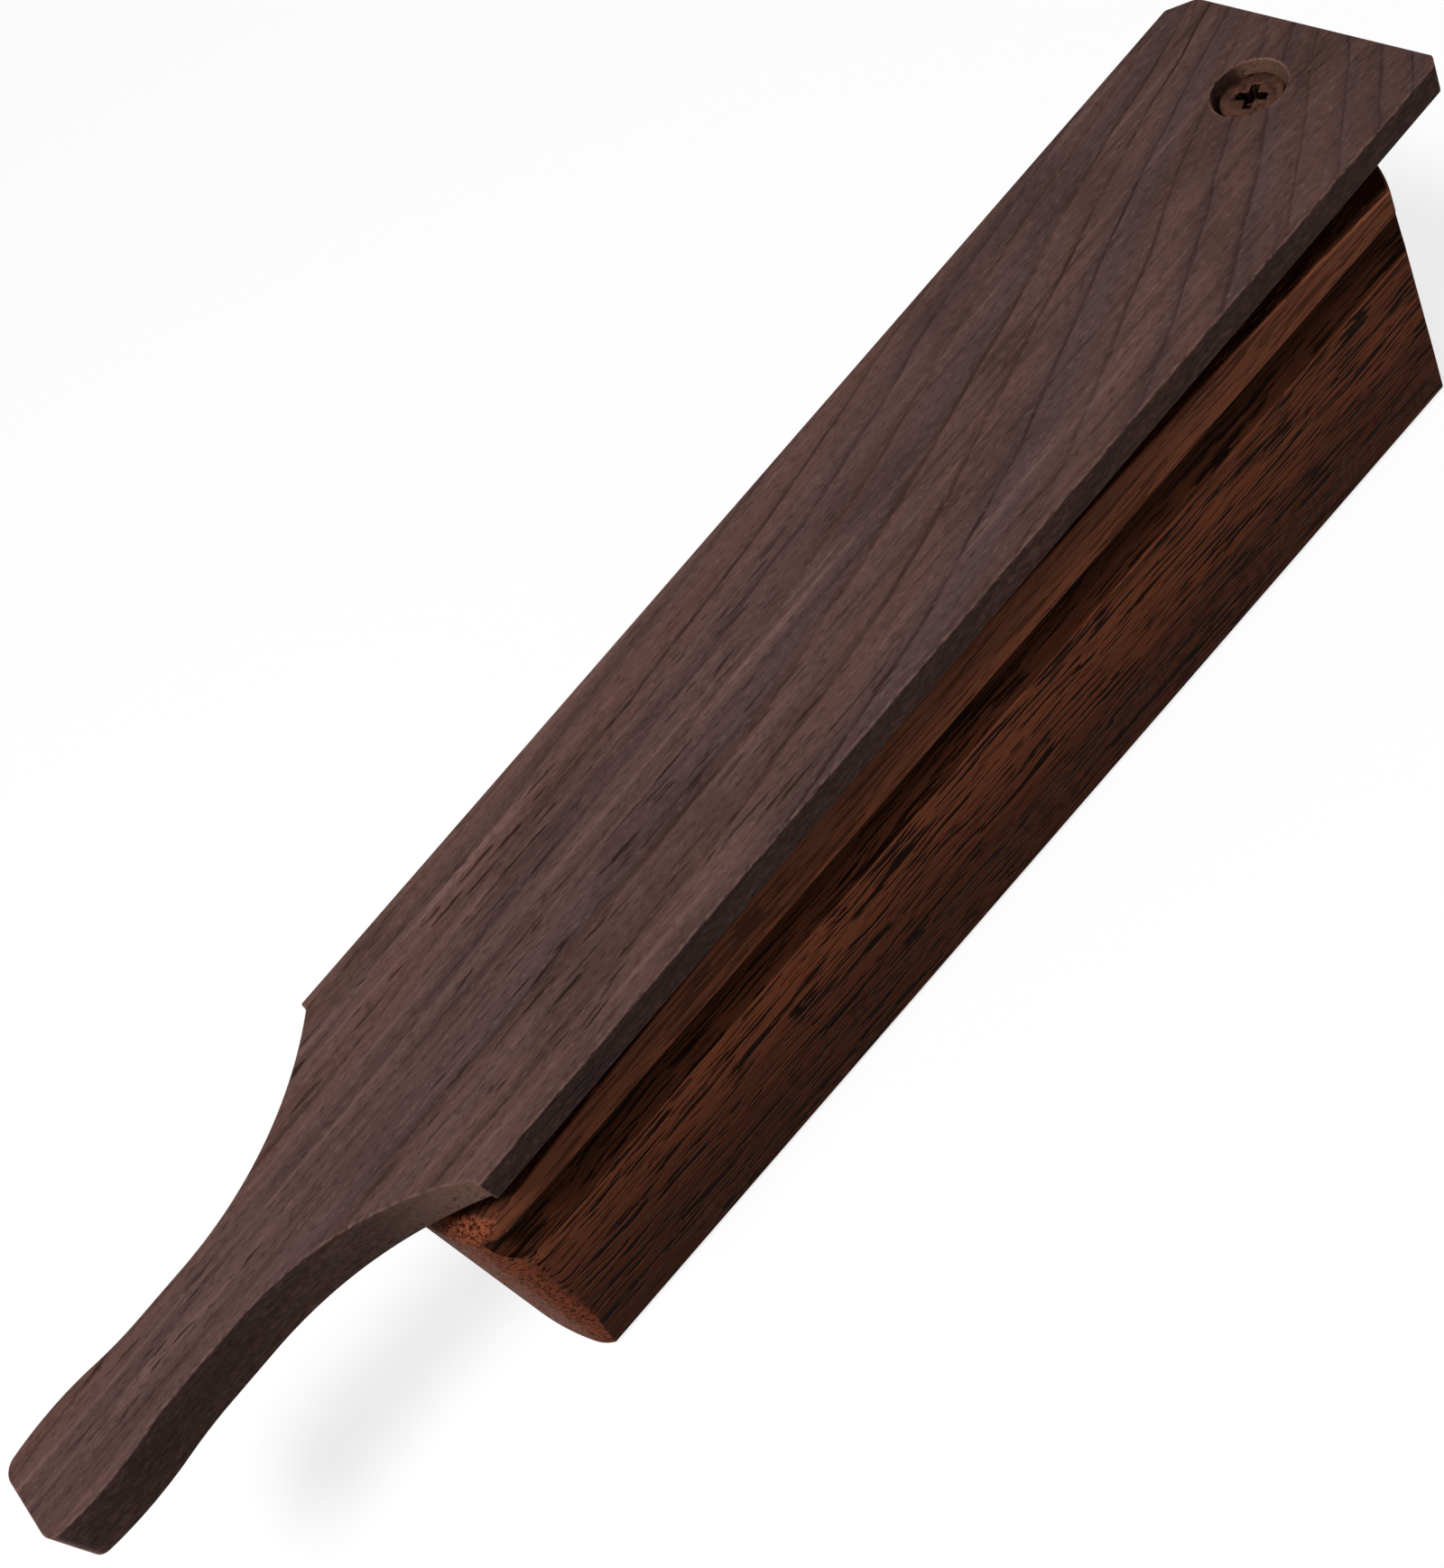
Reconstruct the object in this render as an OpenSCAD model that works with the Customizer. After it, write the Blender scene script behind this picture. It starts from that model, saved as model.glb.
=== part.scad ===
// Friction box call: a hollow milled trough with a paddle lid that swings and rocks on one screw.
// Millimetres, Z up. The origin is the middle of the trough's flat bottom, the lid's handle points
// along -X and the pivot screw stands at the +X end.

/* [Trough] */
// Width over the two long sides
box_w = 41; // [34:0.5:60]
// Distance from the origin to the corners at the handle end
handle_corner_x = 87.5; // [70:0.5:110]
// Distance from the origin to the corners at the pivot end
pivot_corner_x = 88.6; // [80:0.2:110]
// How far the handle end bulges past its corners
handle_bulge = 6.3; // [2:0.1:8]
// How far the pivot end bulges past its corners
pivot_bulge = 8; // [7:0.5:10]
// Plan radius of the corners at the handle end
handle_corner_r = 2.5; // [2.5:0.5:8]
// Plan radius of the corners at the pivot end
pivot_corner_r = 3; // [3:0.5:5]
// Radius along the long bottom edges
bottom_edge_r = 1.2; // [0.4:0.2:3]
// Height up to which the long sides taper
taper_z = 15.2; // [8:0.2:22]
// How far each long side tapers in at the bottom
taper = 1.2; // [0.4:0.1:3]
// Height of the rails at the top of their arch
rail_top_z = 45.3; // [38:0.1:60]
// Radius of the rails' arch along the length
rail_arch_r = 950; // [700:10:2000]
// Place of the top of the arch along the length
rail_arch_x = 8; // [-10:1:20]

/* [Sound chamber] */
// Thickness of the side walls
wall_t = 4.2; // [3:0.1:6]
// Thickness of the floor under the chamber
floor_t = 6; // [3:0.5:10]
// Distance from the origin to the chamber's handle end
chamber_handle_x = 77; // [60:1:80]
// Distance from the origin to the chamber's pivot end
chamber_pivot_x = 68; // [55:1:72]
// Plan radius of the chamber's corners
chamber_corner_r = 9; // [4:0.5:14]
// Radius between the chamber's floor and its long walls
chamber_floor_r = 5; // [2:0.5:8]

/* [Side groove] */
// Height of the ledge above the groove
groove_top_z = 37.5; // [30:0.1:41]
// Height of the groove from the ledge to where it runs out
groove_h = 7.1; // [4:0.1:10]
// Greatest depth of the groove
groove_depth = 1.6; // [0.6:0.1:2.4]
// Share of the groove's height that lies below its deepest line
groove_share = 0.85; // [0.6:0.05:1]

/* [Paddle lid] */
// Height of the lid's flat top above the top of the rails
lid_rise = 7; // [6:0.25:10]
// Width of the plate
lid_w = 41.8; // [36:0.2:60]
// Distance from the pivot to the plate's near end
lid_heel = 11.5; // [9:0.1:16]
// Distance from the pivot to the shoulders
lid_shoulder = 170.1; // [160:0.5:190]
// Distance from the pivot to the tip of the handle
lid_reach = 236.1; // [220:0.5:260]
// Thickness along the keel and the handle
keel_t = 9.9; // [8.5:0.1:12]
// Thickness at the plate's long edges
rim_t = 4.5; // [3:0.1:6]
// Leg of the plate's corner chamfer on the far side of the heel
far_chamfer = 3.2; // [1:0.1:6]
// Leg of the corner that is only blunted, on the near side of the heel
near_chamfer = 1.4; // [0.6:0.1:6]
// Width of the handle at its waist
waist_w = 12.6; // [10:0.2:18]
// Height of the square step left at each shoulder
shoulder_step = 1.3; // [0.6:0.1:3]
// Share of the handle's length that is scooped down to the waist
scoop_share = 0.5; // [0.4:0.02:0.6]
// Share of the handle's length that is the straight waist
waist_share = 0.13; // [0.06:0.01:0.16]
// Share of the handle's length that flares out again behind the waist
flare_share = 0.23; // [0.18:0.01:0.24]
// Width of the handle at its widest near the tip
flare_w = 15; // [14:0.2:20]
// Plan radius of the two corners at the tip
tip_corner_r = 2.4; // [1:0.2:4]
// Turn of the lid on its screw as it lies at rest, in degrees
lid_turn = 1; // [-3:0.5:3]

/* [Sole of the lid] */
// Radius of the bearing pad that stays at full depth round the pivot
pad_r = 15.6; // [12:0.2:16]
// Distance from the pivot at which the sole is at full depth again
relief_reach = 161; // [158:0.5:166]
// Free height between the keel and the seat on the end block
seat_gap = 0.3; // [0.2:0.05:0.5]
// Free height with which the sole passes over the rails
rail_gap = 0.3; // [0.2:0.05:0.5]
// Distance from the pivot to the line on which the lid rocks
rock_x = 3; // [2:0.5:4]
// Rise of the heel behind that line, in degrees
heel_rise = 6; // [4.5:0.5:8]

/* [Pivot] */
// Distance from the origin to the pivot screw
pivot_x = 89.8; // [84:0.2:96]
// Diameter of the screw's shank
screw_d = 4.2; // [3:0.1:5]
// Diameter of the screw's head
head_d = 8.3; // [7:0.1:9]
// Height of the head's straight edge
head_land = 0.4; // [0.2:0.1:0.8]
// Included angle under the head, in degrees
head_angle = 82; // [80:1:100]
// Length of the screw from the top of its head to its point
screw_l = 34; // [26:1:40]
// Length of the screw's point
point_l = 5; // [3:0.5:8]
// Share of the shank's radius that is left at the very point
point_share = 0.25; // [0.1:0.05:0.5]
// Depth of the head below the lid's top
head_drop = 1.5; // [1:0.1:2]
// Diameter of the counterbore in the lid
counterbore_d = 10; // [9.8:0.1:12]
// Wood left under the counterbore
counterbore_floor = 3; // [2:0.1:4]
// Diameter of the pivot hole through the lid
pivot_hole_d = 5.3; // [4.9:0.1:6.5]
// Radial clearance of the screw in the end block
screw_fit = 0.04; // [0.02:0.01:0.1]
// Length of a wing of the cross recess, from the middle
recess_reach = 2.5; // [1.5:0.1:3]
// Width of a wing of the cross recess
recess_w = 1.1; // [0.6:0.1:1.6]
// Depth of the cross recess
recess_depth = 1.6; // [0.8:0.1:2]

/* [Spring and washer] */
// Outer diameter of the washer under the spring
washer_d = 9; // [8:0.1:9.4]
// Hole through that washer
washer_hole_d = 5.2; // [4.9:0.1:5.6]
// Thickness of that washer
washer_t = 0.6; // [0.4:0.1:0.8]
// Mean diameter of the spring
spring_d = 6.4; // [5.8:0.1:6.8]
// Diameter of the spring's wire
wire_d = 0.5; // [0.3:0.05:0.6]
// Rise of the spring over one turn
spring_pitch = 0.95; // [0.9:0.05:1.1]
// Clearance between the spring and what it bears on
spring_fit = 0.05; // [0.02:0.01:0.1]

/* [Hidden] */
$fn = 96;
// Segments that keep the very large arch close to its circle
arch_fn = 720;
// Steps of a rounded corner that meets a larger arc
corner_steps = 8;
// One overrun for every cut
over = 1;
half_w = box_w / 2;
handle_end_x = handle_corner_x + handle_bulge;
pivot_end_x = pivot_corner_x + pivot_bulge;
chamber_half = half_w - wall_t;
lid_top_z = rail_top_z + lid_rise;
keel_z = lid_top_z - keel_t;
seat_z = keel_z - seat_gap;
relief_z = rail_top_z + rail_gap;
sole_rise = keel_t - rim_t;
sole_r = (pow(lid_w / 2, 2) + pow(sole_rise, 2)) / (2 * sole_rise);
handle_l = lid_reach - lid_shoulder;
scoop_run = scoop_share * handle_l;
scoop_h = lid_w / 2 - shoulder_step - waist_w / 2;
scoop_r = bulge_r(scoop_run, scoop_h);
waist = lid_shoulder + scoop_run;
waist_end = waist + waist_share * handle_l;
flare_run = flare_share * handle_l;
flare = waist_end + flare_run;
flare_h = (flare_w - waist_w) / 2;
// Two equal arcs, a hollow one and a round one, make the flare and meet half way
flare_r = (flare_run * flare_run + flare_h * flare_h) / (4 * flare_h);
head_top_z = lid_top_z - head_drop;
cone_h = (head_d - screw_d) / 2 / tan(head_angle / 2);
head_base_z = head_top_z - head_land - cone_h;
cb_floor_z = keel_z + counterbore_floor;
washer_top_z = cb_floor_z + washer_t;
rings_per_turn = 8;
wire_sides = 6;
// The spring's top turn meets the cone under the head where the wire touches its slope
cone_lift = (spring_d * cos(180 / rings_per_turn) - screw_d) / 2 / tan(head_angle / 2);
wire_reach = (wire_d / 2 + spring_fit) / sin(head_angle / 2);
spring_low_z = washer_top_z + wire_d / 2 + spring_fit;
spring_high_z = head_base_z + cone_lift - wire_reach;
spring_turns = (spring_high_z - spring_low_z) / spring_pitch;

// Points of an arc of radius r about c, from angle a to angle b in n steps
function arc(c, r, a, b, n) =
    [for (i = [0 : n]) c + r * [cos(a + (b - a) * i / n), sin(a + (b - a) * i / n)]];

function but_first(p) = [for (i = [1 : len(p) - 1]) p[i]];

// Radius of an arc that bulges by b over the distance w from its middle
function bulge_r(w, b) = (w * w + b * b) / (2 * b);

// Rectangle from a to b whose corners are rounded by r
module rounded(a, b, r) {
    translate([a[0] + r, a[1]]) square([b[0] - a[0] - 2 * r, b[1] - a[1]]);
    translate([a[0], a[1] + r]) square([b[0] - a[0], b[1] - a[1] - 2 * r]);
    for (x = [a[0] + r, b[0] - r], y = [a[1] + r, b[1] - r]) translate([x, y]) circle(r);
}

// Plan of one half of the trough, drawn towards +X, with a bulged end and rounded corners
module end_plan(corner_x, bulge, r) {
    big = bulge_r(half_w, bulge);
    end_x = corner_x + bulge;
    c = end_x - big;
    cy = half_w - r;
    cx = c + sqrt(pow(big - r, 2) - cy * cy);
    turn = atan2(cy, cx - c);
    translate([-over, -half_w]) square([cx + over, box_w]);
    difference() {
        intersection() {
            translate([cx - over, -half_w]) square([end_x - cx + over, box_w]);
            translate([c, 0]) circle(big, $fn = arch_fn);
        }
        for (s = [-1, 1])
            polygon(concat(arc([cx, s * cy], r, s * turn, s * 90, corner_steps),
                           [[cx, s * (half_w + over)], [end_x, s * (half_w + over)]]));
    }
}

// Section of the trough across its width, tapered below and with rounded bottom edges
module box_section() {
    lean = atan(taper / taper_z);
    cy = half_w - taper - bottom_edge_r * tan((90 - lean) / 2);
    side = concat(arc([cy, bottom_edge_r], bottom_edge_r, -90, -lean, corner_steps),
                  [[half_w, taper_z], [half_w, rail_top_z + over]]);
    polygon(concat(side, [for (i = [len(side) - 1 : -1 : 0]) [-side[i][0], side[i][1]]]));
}

module chamber_section() {
    rounded([-chamber_half, floor_t], [chamber_half, rail_top_z + chamber_floor_r + over],
        chamber_floor_r);
}

// Lays a section that is drawn in Y and Z along the X axis
module along_x(from, to) {
    translate([from, 0, 0]) rotate([90, 0, 90]) linear_extrude(to - from) children();
}

// The long cove under each rail: a round cut that ends square against the ledge
module side_groove() {
    run_out = groove_h * groove_share;
    r = (run_out * run_out + groove_depth * groove_depth) / (2 * groove_depth);
    along_x(-handle_end_x - over, pivot_end_x + over)
        intersection() {
            translate([half_w + r - groove_depth, groove_top_z - groove_h + run_out]) circle(r);
            translate([half_w - groove_depth - over, groove_top_z - groove_h - over])
                square([groove_depth + 2 * over, groove_h + over]);
        }
}

module box_body() {
    color("saddlebrown")
    difference() {
        intersection() {
            linear_extrude(rail_top_z + over) {
                end_plan(pivot_corner_x, pivot_bulge, pivot_corner_r);
                mirror([1, 0]) end_plan(handle_corner_x, handle_bulge, handle_corner_r);
            }
            along_x(-handle_end_x - over, pivot_end_x + over) box_section();
            // The rails' long arch
            translate([rail_arch_x, 0, rail_top_z - rail_arch_r]) rotate([90, 0, 0])
                cylinder(r = rail_arch_r, h = box_w + 2 * over, center = true, $fn = arch_fn);
        }
        intersection() {
            linear_extrude(rail_top_z + over)
                rounded([-chamber_handle_x, -chamber_half], [chamber_pivot_x, chamber_half],
                    chamber_corner_r);
            along_x(-chamber_handle_x - over, chamber_pivot_x + over) chamber_section();
        }
        // Flat seat between the rails on which the lid's pad bears
        translate([chamber_pivot_x - chamber_corner_r, -chamber_half, seat_z])
            cube([pivot_end_x - chamber_pivot_x + chamber_corner_r + over, 2 * chamber_half,
                  rail_top_z - seat_z + over]);
        side_groove();
        mirror([0, 1, 0]) side_groove();
        translate([pivot_x, 0, head_top_z - screw_l - screw_fit])
            cylinder(d = screw_d + 2 * screw_fit, h = screw_l);
    }
}

// Plan of the lid's plate, with the pivot at its origin and the handle along -X
module plate_plan() {
    w = lid_w / 2;
    polygon([[lid_heel - far_chamfer, w], [-lid_shoulder, w], [-lid_shoulder, -w],
        [lid_heel - near_chamfer, -w], [lid_heel, near_chamfer - w], [lid_heel, w - far_chamfer]]);
}

// Plan of the wood between the shoulders and the waist, with both sides scooped
module scoop_plan() {
    difference() {
        translate([-waist, -lid_w / 2]) square([scoop_run + over, lid_w]);
        for (s = [-1, 1]) translate([-waist, s * (waist_w / 2 + scoop_r)])
            circle(scoop_r, $fn = arch_fn);
    }
}

// Plan of the handle from the waist to its swelled end, with two rounded corners at the tip
module handle_plan() {
    by = flare_w / 2 - flare_r;
    cx = tip_corner_r - lid_reach;
    cy = by + sqrt(pow(flare_r - tip_corner_r, 2) - pow(cx + flare, 2));
    turn = atan2(cy - by, cx + flare);
    half_way = asin(flare_run / 2 / flare_r);
    side = concat(
        [[over - waist, waist_w / 2]],
        arc([-waist_end, waist_w / 2 + flare_r], flare_r, -90, -90 - half_way, corner_steps),
        but_first(arc([-flare, by], flare_r, 90 - half_way, turn, 2 * corner_steps)),
        but_first(arc([cx, cy], tip_corner_r, turn, 180, corner_steps)));
    polygon(concat(side, [for (i = [len(side) - 1 : -1 : 0]) [side[i][0], -side[i][1]]]));
}

module paddle_lid() {
    low = keel_z - over;
    tall = keel_t + 2 * over;
    color("#5c4745")
    translate([pivot_x, 0, 0]) rotate([0, 0, lid_turn])
    difference() {
        intersection() {
            translate([0, 0, low]) linear_extrude(lid_top_z - low) {
                plate_plan();
                scoop_plan();
                handle_plan();
            }
            translate([-lid_reach - over, 0, keel_z + sole_r]) rotate([0, 90, 0])
                cylinder(r = sole_r, h = lid_reach + lid_heel + 2 * over, $fn = arch_fn / 4);
        }
        // Relief that lets the sole swing over the rails
        translate([0, 0, low]) difference() {
            cylinder(r = relief_reach, h = relief_z - low, $fn = arch_fn / 2);
            translate([0, 0, -over]) cylinder(r = pad_r, h = relief_z - low + 2 * over);
        }
        // Rise of the heel behind the line on which the lid rocks
        translate([rock_x, -lid_w, keel_z]) rotate([0, -heel_rise, 0])
            translate([0, 0, -keel_t]) cube([2 * lid_heel, 2 * lid_w, keel_t]);
        translate([0, 0, cb_floor_z]) cylinder(d = counterbore_d, h = tall);
        translate([0, 0, low]) cylinder(d = pivot_hole_d, h = tall);
    }
}

module pivot_screw() {
    low_z = head_top_z - screw_l;
    color("#6b4a3a")
    translate([pivot_x, 0, 0]) difference() {
        rotate_extrude() polygon([[0, low_z], [point_share * screw_d / 2, low_z],
            [screw_d / 2, low_z + point_l], [screw_d / 2, head_base_z],
            [head_d / 2, head_top_z - head_land], [head_d / 2, head_top_z], [0, head_top_z]]);
        for (a = [0, 90]) rotate([0, 0, a])
            translate([-recess_reach, -recess_w / 2, head_top_z - recess_depth])
                cube([2 * recess_reach, recess_w, recess_depth + over]);
    }
}

// Centre of the spring's wire after i rings
function coil(i) =
    let (a = 360 * i / rings_per_turn)
    [spring_d / 2 * cos(a), spring_d / 2 * sin(a),
     spring_low_z + i / rings_per_turn * spring_pitch];

module tension_spring() {
    n = floor(spring_turns * rings_per_turn);
    pts = [for (i = [0 : n]) for (j = [0 : wire_sides - 1])
        let (a = 360 * i / rings_per_turn, b = 360 * j / wire_sides, c = coil(i),
             out = wire_d / 2 * cos(b))
        c + [out * cos(a), out * sin(a), wire_d / 2 * sin(b)]];
    sides = [for (i = [0 : n - 1]) for (j = [0 : wire_sides - 1])
        let (k = (j + 1) % wire_sides)
        each [[i * wire_sides + j, (i + 1) * wire_sides + k, (i + 1) * wire_sides + j],
              [i * wire_sides + j, i * wire_sides + k, (i + 1) * wire_sides + k]]];
    ends = [for (j = [1 : wire_sides - 2]) each
        [[0, j + 1, j], [n * wire_sides, n * wire_sides + j, n * wire_sides + j + 1]]];
    gap = min([for (i = [0 : n - rings_per_turn]) norm(coil(i + rings_per_turn) - coil(i))])
        - wire_d;
    echo(str("least gap between the spring's turns: ", gap, " mm"));
    color("silver") translate([pivot_x, 0, 0])
        polyhedron(points = pts, faces = concat(sides, ends));
}

module spring_washer() {
    color("silver")
    translate([pivot_x, 0, cb_floor_z]) difference() {
        cylinder(d = washer_d, h = washer_t);
        translate([0, 0, -over]) cylinder(d = washer_hole_d, h = washer_t + 2 * over);
    }
}

box_body();
paddle_lid();
pivot_screw();
tension_spring();
spring_washer();
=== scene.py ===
"""Looks of a friction box call: a milled trough, a paddle lid and the sprung screw that holds it.

Every piece is modelled in millimetres in its own place on the object and scaled to metres last.
"""

import logging
import math
from collections.abc import Callable, Sequence
from dataclasses import dataclass, field
from enum import Enum

import bmesh
import bpy
from mathutils import Matrix, Vector


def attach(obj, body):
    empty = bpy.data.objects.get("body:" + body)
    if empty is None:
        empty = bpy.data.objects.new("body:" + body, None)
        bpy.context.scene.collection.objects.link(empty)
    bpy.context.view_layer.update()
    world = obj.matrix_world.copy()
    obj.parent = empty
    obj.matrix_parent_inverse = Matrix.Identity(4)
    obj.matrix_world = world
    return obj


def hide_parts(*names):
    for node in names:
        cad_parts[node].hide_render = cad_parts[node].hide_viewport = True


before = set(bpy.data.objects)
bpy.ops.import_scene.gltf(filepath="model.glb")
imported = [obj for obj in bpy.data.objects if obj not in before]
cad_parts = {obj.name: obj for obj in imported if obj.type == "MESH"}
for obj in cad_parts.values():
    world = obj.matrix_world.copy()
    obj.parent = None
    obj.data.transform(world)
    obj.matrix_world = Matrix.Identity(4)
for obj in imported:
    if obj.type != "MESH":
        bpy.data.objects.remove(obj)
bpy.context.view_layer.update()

MM = 0.001
MILLIMETRES = 1000.0  # in a metre
MERGE = 1e-4  # points nearer than this are one point of an outline, in millimetres
WELD = 2e-3  # the same for a carved solid
SLIVER = 1e-3  # edges shorter than this are dropped
TOUCH = 0.01  # how near a point lies to what it belongs to
PHOTO_SIZE = (1600, 1737)
PIVOT_X = 89.8
LOG = logging.getLogger("bird_call")

Solid = bmesh.types.BMesh
Edge = bmesh.types.BMEdge
Face = bmesh.types.BMFace
Socket = bpy.types.NodeSocket
Inputs = dict[str | int, object]


class Cut(Enum):
    """What a carving tool does to the wood it meets."""

    REMOVE = "DIFFERENCE"
    KEEP = "INTERSECT"
    JOIN = "UNION"


class Body(Enum):
    """The moving bodies that pieces ride on."""

    TROUGH = "trough"
    SPRING = "spring"
    LID = "lid"


# ---- outlines and solids


def turned(degrees: float, axis: str = "Z") -> Matrix:
    """Returns the matrix of a turn about an axis."""
    return Matrix.Rotation(math.radians(degrees), 4, axis)


def moved(bm: Solid, matrix: Matrix) -> Solid:
    """Moves a whole solid by a matrix and returns it."""
    bmesh.ops.transform(bm, matrix=matrix, verts=bm.verts[:])
    return bm


def shifted(bm: Solid, x: float = 0.0, z: float = 0.0) -> Solid:
    """Shifts a whole solid and returns it."""
    bmesh.ops.translate(bm, vec=(x, 0.0, z), verts=bm.verts[:])
    return bm


def put_in(name: str, data: bpy.types.ID) -> bpy.types.Object:
    """Puts a new object into the scene.

    Args:
        name: Name of the object.
        data: Its mesh, lamp or camera.

    Returns:
        The object.
    """
    made = bpy.data.objects.new(name, data)
    bpy.context.scene.collection.objects.link(made)
    return made


def weld(bm: Solid, reach: float = MERGE) -> None:
    """Merges the points of a solid that lie closer together than a distance."""
    bmesh.ops.remove_doubles(bm, verts=bm.verts[:], dist=reach)


class Pen:
    """Draws an outline in the XY plane with straight lines and arcs, one operator each."""

    def __init__(self, x: float, y: float) -> None:
        """Sets the pen down on a point.

        Args:
            x: First coordinate of the point, in millimetres.
            y: Second coordinate of it.
        """
        self.mesh = bmesh.new()
        self.tip = self.mesh.verts.new((x, y, 0.0))

    def line(self, x: float, y: float) -> "Pen":
        """Draws a straight line to a point.

        Args:
            x: First coordinate of the line's end.
            y: Second coordinate of the line's end.

        Returns:
            The pen itself, so that strokes can be chained.
        """
        made = bmesh.ops.extrude_vert_indiv(self.mesh, verts=[self.tip])
        self.tip = made["verts"][0]
        self.tip.co = (x, y, 0.0)
        return self

    def arc(self, centre: tuple[float, float], degrees: float, steps: int) -> "Pen":
        """Draws an arc about a centre.

        Args:
            centre: Centre of the arc.
            degrees: How far it turns; positive is anticlockwise.
            steps: Number of straight steps that make it.

        Returns:
            The pen itself.
        """
        made = bmesh.ops.spin(
            self.mesh, geom=[self.tip], cent=(*centre, 0.0), axis=(0, 0, 1),
            angle=math.radians(degrees), steps=steps, use_merge=False, use_duplicate=False,
        )
        self.tip = [g for g in made["geom_last"] if isinstance(g, bmesh.types.BMVert)][0]
        return self

    def mirrored(self) -> "Pen":
        """Adds the outline's mirror image across the X axis and joins the two halves.

        Returns:
            The pen itself.
        """
        made = bmesh.ops.duplicate(self.mesh, geom=self.mesh.verts[:] + self.mesh.edges[:])
        verts = [g for g in made["geom"] if isinstance(g, bmesh.types.BMVert)]
        bmesh.ops.scale(self.mesh, vec=(1.0, -1.0, 1.0), verts=verts)
        return self.closed()

    def closed(self) -> "Pen":
        """Joins the last point to the first by merging them."""
        weld(self.mesh)
        return self

    def prism(self, low: float, high: float) -> Solid:
        """Fills the outline and pulls it up into a solid.

        Args:
            low: Height of the solid's bottom.
            high: Height of the solid's top.

        Returns:
            The solid.
        """
        bm = self.mesh
        bmesh.ops.contextual_create(bm, geom=bm.edges[:])
        shifted(bm, z=low)
        made = bmesh.ops.extrude_face_region(bm, geom=bm.faces[:])
        top = [g for g in made["geom"] if isinstance(g, bmesh.types.BMVert)]
        bmesh.ops.translate(bm, vec=(0.0, 0.0, high - low), verts=top)
        bmesh.ops.recalc_face_normals(bm, faces=bm.faces[:])
        return bm

    def lathed(self, steps: int) -> Solid:
        """Turns the outline, read as radius and height, round the Z axis like wood on a lathe.

        Args:
            steps: Number of steps of the full turn.

        Returns:
            The turned solid.
        """
        bm = moved(self.mesh, turned(90, "X"))
        bmesh.ops.spin(
            bm, geom=bm.verts[:] + bm.edges[:], cent=(0, 0, 0), axis=(0, 0, 1),
            angle=math.tau, steps=steps, use_merge=True, use_duplicate=False,
        )
        weld(bm)
        bmesh.ops.recalc_face_normals(bm, faces=bm.faces[:])
        return bm


def cutter_rod(radius: float, low: Sequence[float], high: Sequence[float], sides: int) -> Solid:
    """Makes a round rod between two points.

    Args:
        radius: Radius of the rod.
        low: Middle of its first end.
        high: Middle of its second end.
        sides: Number of its sides.

    Returns:
        The rod.
    """
    bm = bmesh.new()
    start, end = Vector(low), Vector(high)
    along = end - start
    bmesh.ops.create_cone(
        bm, cap_ends=True, segments=sides, radius1=radius, radius2=radius, depth=along.length
    )
    turn = along.to_track_quat("Z", "Y").to_matrix().to_4x4()
    return moved(bm, Matrix.Translation((start + end) / 2) @ turn)


def cutter_block(low: Sequence[float], high: Sequence[float]) -> Solid:
    """Makes a rectangular block.

    Args:
        low: Its lowest corner.
        high: Its highest corner.

    Returns:
        The block.
    """
    bm = bmesh.new()
    start, end = Vector(low), Vector(high)
    bmesh.ops.create_cube(bm, size=1.0)
    bmesh.ops.scale(bm, vec=end - start, verts=bm.verts[:])
    bmesh.ops.translate(bm, vec=(start + end) / 2, verts=bm.verts[:])
    return bm


def carve(work: Solid, tool: Solid, cut: Cut = Cut.REMOVE) -> Solid:
    """Applies a carving tool to a solid. Both meshes are used up.

    Args:
        work: The solid that is worked on.
        tool: The solid that it is worked with.
        cut: What happens where they meet.

    Returns:
        The carved solid.
    """
    pair = []
    for bm in (work, tool):
        mesh = bpy.data.meshes.new("shaping")
        bm.to_mesh(mesh)
        bm.free()
        pair.append(put_in("shaping", mesh))
    change = pair[0].modifiers.new("carve", "BOOLEAN")
    change.operation = cut.value
    change.object = pair[1]
    change.solver = "EXACT"
    graph = bpy.context.evaluated_depsgraph_get()
    result = bmesh.new()
    result.from_mesh(pair[0].evaluated_get(graph).to_mesh())
    for shown in pair:
        mesh = shown.data
        bpy.data.objects.remove(shown)
        bpy.data.meshes.remove(mesh)
    weld(result, WELD)
    bmesh.ops.dissolve_degenerate(result, edges=result.edges[:], dist=SLIVER)
    return result


def round_off(bm: Solid, edges: list[Edge], radius: float, segments: int) -> Sequence[Face]:
    """Rounds edges of a solid.

    Args:
        bm: The solid.
        edges: The edges.
        radius: How far the rounding reaches from an edge.
        segments: Number of its steps.

    Returns:
        The faces of the rounding.
    """
    return bmesh.ops.bevel(
        bm, geom=edges, offset=radius, offset_type="OFFSET", segments=segments, profile=0.5,
        affect="EDGES", clamp_overlap=False, material=-1,
    )["faces"]


def ease(
    bm: Solid, radius: float, segments: int, where: Callable[[Edge], bool],
    sharper_than: float = 24.0,
) -> None:
    """Rounds the sharp edges that a test picks, as sandpaper does, and marks them for a lighter
    paint.

    Args:
        bm: The solid.
        radius: How far the rounding reaches from the edge.
        segments: Number of its steps.
        where: Says whether an edge is one of them.
        sharper_than: Least angle between an edge's faces, in degrees.
    """
    # the layer marks rounded edges, which the finishes paint lighter: partly wear, partly painted
    # highlight
    worn_and_lit = bm.faces.layers.float.new("worn_and_lit")
    edges = [
        e for e in bm.edges
        if e.is_manifold and math.degrees(e.calc_face_angle()) > sharper_than and where(e)
    ]
    for f in round_off(bm, edges, radius, segments):
        f[worn_and_lit] = 1.0
    weld(bm, WELD)


def middle(edge: Edge) -> Vector:
    """Returns the middle of an edge."""
    return (edge.verts[0].co + edge.verts[1].co) / 2


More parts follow.
